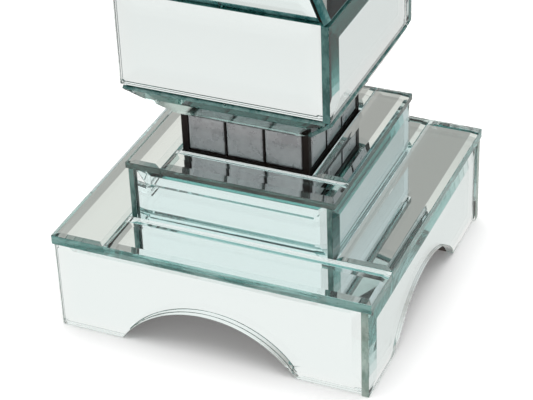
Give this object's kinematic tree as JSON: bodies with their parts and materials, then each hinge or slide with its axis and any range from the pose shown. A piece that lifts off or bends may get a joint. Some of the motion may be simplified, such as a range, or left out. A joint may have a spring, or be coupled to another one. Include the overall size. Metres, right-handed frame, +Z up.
{
  "type": "vanity trinket box",
  "caption": "Mirrored vanity trinket box with a hinged hip-roofed lid, a tiled neck, a square step and an arched plinth.",
  "frame": {"origin": "middle of the square footprint, on the table", "axes": "+Z up, -Y towards the front, +X to the right; the hinges are at +Y"},
  "size_m": [0.2, 0.2, 0.2815],
  "materials": {
    "mirror_pane": "silvered clear glass with a green-blue edge, ground and polished bevels",
    "smoked_tile": "smoky grey rippled glass with a foil back",
    "dark_frame": "near-black painted board with dark grout lines",
    "board": "medium-density board stained near black",
    "velvet": "charcoal velvet",
    "felt": "black wool felt",
    "bright_steel": "nickel-plated steel",
    "crystal": "faceted clear crystal"
  },
  "bodies": {
    "box": {"box_carcass": "board", "box_lining": "velvet", "box_mirror_back": "mirror_pane", "box_mirror_front": "mirror_pane", "box_mirror_left": "mirror_pane", "box_mirror_right": "mirror_pane", "foot_pad_back_corner": "felt", "foot_pad_front_corner": "felt", "foot_pad_left_corner": "felt", "foot_pad_right_corner": "felt", "hinge_box_leaf_left": "bright_steel", "hinge_box_leaf_right": "bright_steel", "hinge_pin_left": "bright_steel", "hinge_pin_right": "bright_steel", "neck_frame": "dark_frame", "neck_tile_back_1": "smoked_tile", "neck_tile_back_2": "smoked_tile", "neck_tile_back_3": "smoked_tile", "neck_tile_front_1": "smoked_tile", "neck_tile_front_2": "smoked_tile", "neck_tile_front_3": "smoked_tile", "neck_tile_left_1": "smoked_tile", "neck_tile_left_2": "smoked_tile", "neck_tile_left_3": "smoked_tile", "neck_tile_right_1": "smoked_tile", "neck_tile_right_2": "smoked_tile", "neck_tile_right_3": "smoked_tile", "plinth_carcass": "board", "plinth_mirror_back": "mirror_pane", "plinth_mirror_front": "mirror_pane", "plinth_mirror_left": "mirror_pane", "plinth_mirror_right": "mirror_pane", "plinth_top_mirror_back": "mirror_pane", "plinth_top_mirror_front": "mirror_pane", "plinth_top_mirror_left": "mirror_pane", "plinth_top_mirror_right": "mirror_pane", "step_carcass": "board", "step_mirror_back": "mirror_pane", "step_mirror_front": "mirror_pane", "step_mirror_left": "mirror_pane", "step_mirror_right": "mirror_pane", "step_top_mirror_back": "mirror_pane", "step_top_mirror_front": "mirror_pane", "step_top_mirror_left": "mirror_pane", "step_top_mirror_right": "mirror_pane", "underside_mirror_back": "mirror_pane", "underside_mirror_front": "mirror_pane", "underside_mirror_left": "mirror_pane", "underside_mirror_right": "mirror_pane"},
    "lid": {"hinge_lid_leaf_left": "bright_steel", "hinge_lid_leaf_right": "bright_steel", "knob_crystal": "crystal", "knob_stem": "bright_steel", "lid_carcass": "board", "lid_lining": "velvet", "lid_mirror_back": "mirror_pane", "lid_mirror_front": "mirror_pane", "lid_mirror_left": "mirror_pane", "lid_mirror_right": "mirror_pane", "lid_mirror_top": "mirror_pane"}
  },
  "joints": [
    {"name": "lid_hinge", "type": "hinge", "parent": "box", "child": "lid", "pos_m": [0, 0.0677, 0.2141], "axis": [-1, 0, 0], "range_deg": [0, 95]}
  ]
}
